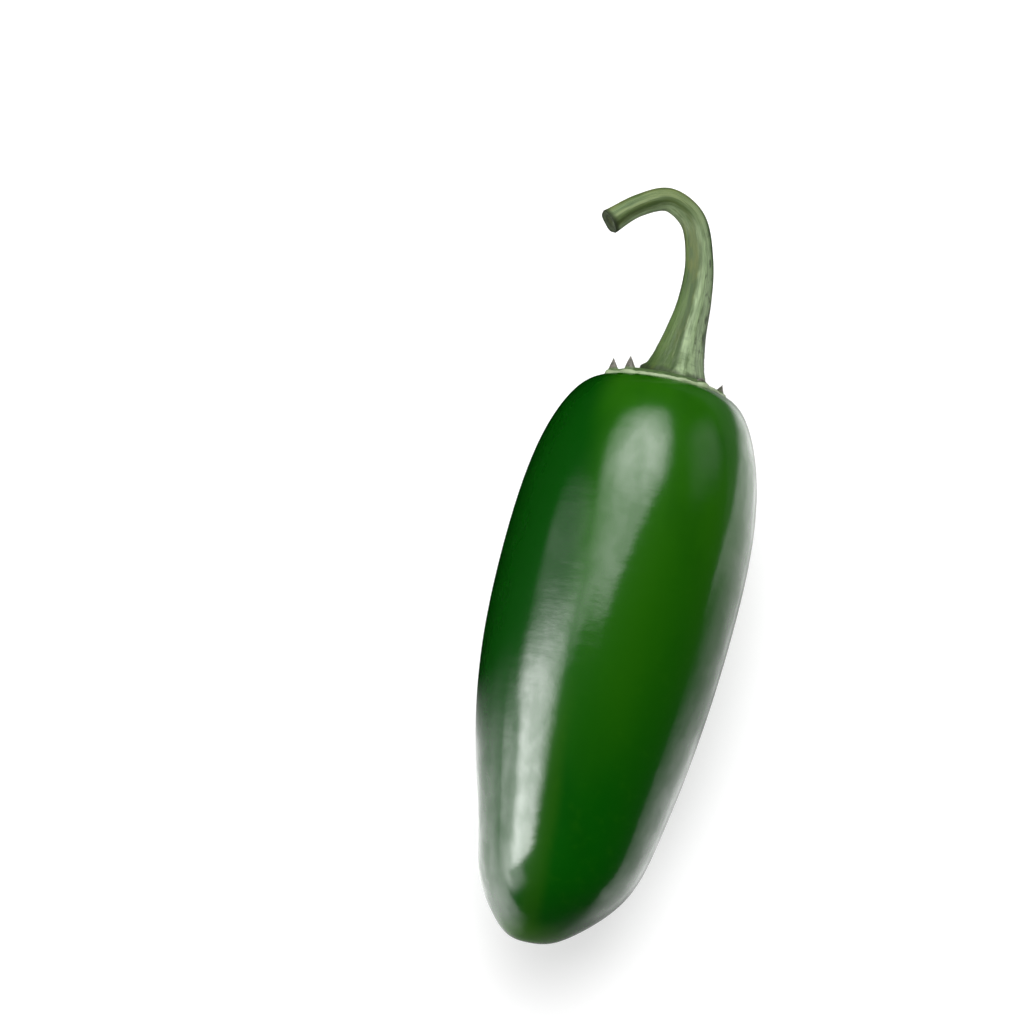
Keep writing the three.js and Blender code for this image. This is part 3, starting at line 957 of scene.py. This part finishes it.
# Painted shade: a darker band along the side of the hook.
SHADE_BAND_SIDE = math.radians(-94)  # the dark streak along the hook
SHADE_BAND_EDGE = (0.86, 1.0)
SHADE_BAND_WEIGHT = 0.6
# Painted light: the hook's inner edge is paler, standing for light thrown up from the table.
INNER_LIGHT_SIDE = math.radians(-148)  # the hook's inner edge
INNER_LIGHT_EDGE = (0.60, 0.95)
INNER_LIGHT_SPAN = (20.0, 26.0)
INNER_LIGHT_WEIGHT = 0.70
FLECK_SIDE = -0.25
FLECK_EDGE = (0.45, 0.85)
FLECK_SPANS = ((2.0, 5.0), (24.0, 17.0))
FLECK_STRETCH = (1.0, 0.45, 1.0)
FLECK_GRAIN = (1.5, 2, 9.2)  # scale, detail, seed
FLECK_NOISE = (0.53, 0.66)
FLECK_WEIGHT = 0.75
HOOK_SPAN = (12.0, 26.0)
STREAKS_RUN = 0.035  # how little the streaks change along the stalk
STREAKS_GRAIN = (3.0, 4, 0.7)
STREAKS_NOISE = (0.38, 0.66)
BLOTCH_STRETCH = (1.0, 0.30, 1.0)
BLOTCH_GRAIN = (0.75, 3, 3.9)
OLIVE_GAIN = 0.20  # toward the hook
OLIVE_NOISE = (0.50, 0.75)
FIBRE_GRAIN = (11.0, 3, 6.4)
FIBRE_NOISE = (0.45, 0.62)
FIBRE_WEIGHT = 0.45
FIBRE_DEPTH = 0.00012
UNEVEN_BY_BLOTCHES = 0.6
UNEVEN_BY_STREAKS = 0.5
FOOT_UNEVEN = 2.0
# Painted shade where the stalk's foot meets the calyx, in dark patches.
FOOT_SHADE_SPAN = (1.25, 0.55)
FOOT_SHADE_WEIGHT = 0.75
# Painted shade in fold-like streaks near the foot.
FOLD_SHADE_GRAIN = (1.3, 2, 4.8)
FOLD_SHADE_NOISE = (0.54, 0.66)
FOLD_SHADE_SPAN = (9.0, 4.0)
FOLD_SHADE_WEIGHT = 0.30
PIMPLE_GRAIN = (4.0, 3, 2.0)
PIMPLE_DEPTH = 0.00006
CUT_BEGINS = (0.9, 0.1)  # before the end
RING_BEGINS = (0.5, 0.2)
RING_RADII = ((0.85, 1.05), (1.5, 1.3))
STALK_ROUGHNESS = 0.4
ROUGHER_BY_STREAKS = 0.2
ROUGHER_AT_CUT = 0.4
STALK_SPECULAR = 0.3


def through_points(points, steps):
    """A smooth curve that passes through its points, evenly tight at long and short spans."""
    points = np.array(points, float)
    guides = np.vstack([2 * points[0] - points[1], points, 2 * points[-1] - points[-2]])
    curve = []
    for a, b, c, d in zip(guides, guides[1:], guides[2:], guides[3:]):
        t0 = 0.0
        t1 = t0 + math.sqrt(np.linalg.norm(b - a))
        t2 = t1 + math.sqrt(np.linalg.norm(c - b))
        t3 = t2 + math.sqrt(np.linalg.norm(d - c))
        t = np.linspace(t1, t2, steps, endpoint=False)[:, None]
        ab = ((t1 - t) * a + (t - t0) * b) / (t1 - t0)
        bc = ((t2 - t) * b + (t - t1) * c) / (t2 - t1)
        cd = ((t3 - t) * c + (t - t2) * d) / (t3 - t2)
        abc = ((t2 - t) * ab + (t - t0) * bc) / (t2 - t0)
        bcd = ((t3 - t) * bc + (t - t1) * cd) / (t3 - t1)
        curve.extend(((t2 - t) * abc + (t - t1) * bcd) / (t2 - t1))
    return np.array([*curve, points[-1]])


def near_knot(tree, radius, angle, along):
    """One at the middle of the small knot on the foot, fading to nought round it."""
    aside = calc(tree, "MULTIPLY", radius, calc(tree, "SUBTRACT", angle, KNOT_ANGLE))
    ahead = calc(tree, "SUBTRACT", along, KNOT_ALONG)
    apart = squares(tree, aside, ahead)
    return calc(tree, "EXPONENT", calc(tree, "MULTIPLY", apart, -1 / KNOT_RADIUS ** 2))


def round_stalk(tree, angle, along, run):
    """A place for noise that changes round the stalk and hardly along it."""
    return add_node(tree, "ShaderNodeCombineXYZ", {
        "X": calc(tree, "SINE", angle),
        "Y": calc(tree, "MULTIPLY", along, run),
        "Z": calc(tree, "COSINE", angle),
    }).outputs[0]


def stem_tree():
    """Ribs, grooves and wrinkles a straight turned rod, then bends it along its path."""
    tree, given = start_tree("stem_form", {**STEM_FORM, "Path": "Object"})
    place = add_node(tree, "GeometryNodeInputPosition").outputs[0]
    kept = add_node(tree, "GeometryNodeStoreNamedAttribute", {
        "Geometry": given["Body"], "Name": "straight", "Value": place,
    }, data_type="FLOAT_VECTOR").outputs[0]
    x, along, z = add_node(tree, "ShaderNodeSeparateXYZ", {0: place}).outputs
    angle = calc(tree, "ARCTAN2", x, z)
    radius = calc(tree, "SQRT", squares(tree, x, z))
    ribs = calc(tree, "MULTIPLY_ADD", calc(
        tree, "COSINE", calc(tree, "MULTIPLY", angle, given["Ribs"])), given["Rib height"], 1.0)
    around = round_stalk(tree, angle, along, GROOVE_RUN)
    grooves = calc(tree, "SUBTRACT", noise(tree, around, *GROOVE_GRAIN, given["Seed"]), 0.5)
    grooves = calc(tree, "MULTIPLY", grooves, given["Grooves"])
    stretched = vector_calc(tree, "MULTIPLY", place, FOLD_STRETCH)
    folds = calc(tree, "SUBTRACT", noise(tree, stretched, *FOLD_GRAIN, given["Seed"]), 0.5)
    by_the_foot = product(tree, *(fade_in(tree, along, *span) for span in FOLD_SPANS))
    folds = product(tree, folds, by_the_foot, given["Foot wrinkles"])
    full = fade_in(tree, radius, *FULL_RADII)
    knot = calc(tree, "MULTIPLY", near_knot(tree, radius, angle, along), given["Knot height"])
    rough = calc(tree, "ADD", calc(tree, "ADD", grooves, folds), knot)
    rough = calc(tree, "MULTIPLY", rough, full)
    swell = calc(tree, "ADD", ribs, calc(tree, "DIVIDE", rough, calc(tree, "MAXIMUM", radius, 0.1)))

    path = add_node(
        tree, "GeometryNodeObjectInfo", {"Object": given["Path"]}).outputs["Geometry"]
    part = calc(tree, "DIVIDE", along, given["Length"])
    sample = add_node(
        tree, "GeometryNodeSampleCurve", {"Curves": path, "Factor": part},
        mode="FACTOR", use_all_curves=True)
    middle, tangent, normal = (sample.outputs[name] for name in ("Position", "Tangent", "Normal"))
    side = vector_calc(tree, "CROSS_PRODUCT", tangent, normal)
    outwards = [
        add_node(tree, "ShaderNodeVectorMath", {
            0: direction, "Scale": calc(tree, "MULTIPLY", reach, swell),
        }, operation="SCALE").outputs[0]
        for direction, reach in ((side, x), (normal, z))]
    moved = vector_calc(tree, "ADD", middle, vector_calc(tree, "ADD", *outwards))
    bent = add_node(
        tree, "GeometryNodeSetPosition", {"Geometry": kept, "Position": moved}).outputs[0]
    end_tree(tree, bent, given["Skin"])
    return tree


def stalk_skin():
    """Satin green in long streaks, with dark flecks and a browned cut end, and painted light and
    shade: a pale lit side, a pale inner edge on the hook, a shade band along the hook, and shade at
    the foot and in its folds.
    """
    material, tree, shader = start_finish("stalk_skin")
    straight = add_node(tree, "ShaderNodeAttribute", attribute_name="straight").outputs["Vector"]
    x, along, z = add_node(tree, "ShaderNodeSeparateXYZ", {0: straight}).outputs
    angle = calc(tree, "ARCTAN2", x, z)
    radius = calc(tree, "SQRT", squares(tree, x, z))
    around = round_stalk(tree, angle, along, STREAKS_RUN)
    blotch_place = vector_calc(tree, "MULTIPLY", straight, BLOTCH_STRETCH)
    streaks = noise(tree, around, *STREAKS_GRAIN)
    blotches = noise(tree, blotch_place, *BLOTCH_GRAIN)
    fibres = noise(tree, around, *FIBRE_GRAIN)
    uneven = calc(tree, "MULTIPLY", calc(tree, "SUBTRACT", streaks, 0.5), UNEVEN_BY_STREAKS)
    uneven = off_centre(tree, blotches, UNEVEN_BY_BLOTCHES, uneven)

    def toward(side):
        return calc(tree, "COSINE", calc(tree, "SUBTRACT", angle, side))

    def uneven_side(side, edge):
        return fade_in(tree, calc(tree, "ADD", toward(side), uneven), *edge)

    colour = tint(tree, fade_in(tree, streaks, *STREAKS_NOISE), STALK_GREEN, STALK_LIGHT)
    toward_hook = fade_in(tree, along, *HOOK_SPAN)
    olive = calc(tree, "MULTIPLY_ADD", toward_hook, OLIVE_GAIN, blotches)
    colour = tint(tree, fade_in(tree, olive, *OLIVE_NOISE), colour, STALK_OLIVE)
    # Painted light: paler on the side the light falls on.
    lit_side_angle = calc(
        tree, "MULTIPLY_ADD", fade_in(tree, along, *LIT_SIDE_TURN_SPAN), LIT_SIDE_TURN, LIT_SIDE)
    painted_light = product(tree, uneven_side(lit_side_angle, LIT_SIDE_EDGE), calc(
        tree, "MULTIPLY_ADD", fade_in(tree, along, *LIT_SIDE_LOSS_SPAN), LIT_SIDE_LOSS, LIT_SIDE_WEIGHT))
    colour = tint(tree, painted_light, colour, STALK_PAINTED_LIGHT)
    # Painted shade: a darker band along the hook.
    shade_band = product(tree, uneven_side(SHADE_BAND_SIDE, SHADE_BAND_EDGE), toward_hook, SHADE_BAND_WEIGHT)
    colour = tint(tree, shade_band, colour, STALK_GREEN)
    # Painted light from the table below, on the hook's inner edge.
    inner = product(
        tree, uneven_side(INNER_LIGHT_SIDE, INNER_LIGHT_EDGE), fade_in(tree, along, *INNER_LIGHT_SPAN), INNER_LIGHT_WEIGHT)
    colour = tint(tree, inner, colour, STALK_PAINTED_LIGHT)
    thread = calc(tree, "MULTIPLY", fade_in(tree, fibres, *FIBRE_NOISE), FIBRE_WEIGHT)
    colour = tint(tree, thread, colour, STALK_GREEN)

    fleck_place = vector_calc(tree, "MULTIPLY", straight, FLECK_STRETCH)
    flecks = product(
        tree, fade_in(tree, noise(tree, fleck_place, *FLECK_GRAIN), *FLECK_NOISE),
        fade_in(tree, toward(FLECK_SIDE), *FLECK_EDGE),
        *(fade_in(tree, along, *span) for span in FLECK_SPANS), FLECK_WEIGHT)
    colour = tint(tree, flecks, colour, STALK_DARK)
    # Painted shade at the foot, where it meets the calyx.
    foot = off_centre(tree, blotches, FOOT_UNEVEN, along)
    foot_shade = calc(tree, "MULTIPLY", fade_in(tree, foot, *FOOT_SHADE_SPAN), FOOT_SHADE_WEIGHT)
    colour = tint(tree, foot_shade, colour, STALK_DARK)
    # Painted shade in fold-like streaks near the foot.
    fold_shade = noise(tree, vector_calc(tree, "MULTIPLY", straight, FOLD_STRETCH), *FOLD_SHADE_GRAIN)
    fold_shade = product(
        tree, fade_in(tree, fold_shade, *FOLD_SHADE_NOISE), fade_in(tree, along, *FOLD_SHADE_SPAN),
        FOLD_SHADE_WEIGHT)
    colour = tint(tree, fold_shade, colour, STALK_GREEN)

    at_cut = fade_in(tree, along, *(stem_length - before for before in CUT_BEGINS))
    colour = tint(tree, at_cut, colour, CUT_BROWN)
    colour = tint(tree, near_knot(tree, radius, angle, along), colour, STALK_DARK)
    ring = product(
        tree, *(fade_in(tree, radius, *edge) for edge in RING_RADII),
        fade_in(tree, along, *(stem_length - before for before in RING_BEGINS)))
    colour = tint(tree, ring, colour, CUT_PALE)
    feed(tree, shader.inputs["Base Color"], colour)
    rough = calc(tree, "MULTIPLY_ADD", at_cut, ROUGHER_AT_CUT, STALK_ROUGHNESS)
    rough = calc(tree, "MULTIPLY_ADD", streaks, ROUGHER_BY_STREAKS, rough)
    feed(tree, shader.inputs["Roughness"], rough)
    shader.inputs["Specular IOR Level"].default_value = STALK_SPECULAR
    normal = relief(tree, fibres, FIBRE_DEPTH)
    normal = relief(tree, noise(tree, blotch_place, *PIMPLE_GRAIN), PIMPLE_DEPTH, normal)
    feed(tree, shader.inputs["Normal"], normal)
    return material


path_points = through_points(STEM_PATH, PATH_STEPS)
stem_length = float(np.linalg.norm(np.diff(path_points, axis=0), axis=1).sum())
path_data = bpy.data.curves.new("stem_path", "CURVE")
path_data.dimensions = "3D"
path_spline = path_data.splines.new("POLY")
path_spline.points.add(len(path_points) - 1)
path_spline.points.foreach_set(
    "co", np.hstack([path_points, np.ones((len(path_points), 1))]).ravel())
stem_path = add_object("stem_path", path_data)

stem_radii = pulled_curve(
    STEM_RADII, straight_on(STEM_RADII[0], STEM_RADII[1]),
    straight_on(STEM_RADII[-1], STEM_RADII[-2]), STEM_STEPS)
stem_outline = [(0, 0), *((radius, part * stem_length) for part, radius in stem_radii)]
stem_outline += [(radius, stem_length - inward) for radius, inward in CUT_FACE]
stem_outline += [(0, stem_length - CUT_FACE[-1][1])]
stem = turned_body("stem_stalk", stem_outline, STEM_SIDES)
grow(stem, stem_tree(), {
    **STEM_FORM, "Length": stem_length, "Path": stem_path, "Skin": stalk_skin()})
bpy.data.objects.remove(stem_path)
lay_down(stem)
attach(stem, "root")
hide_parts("stem")
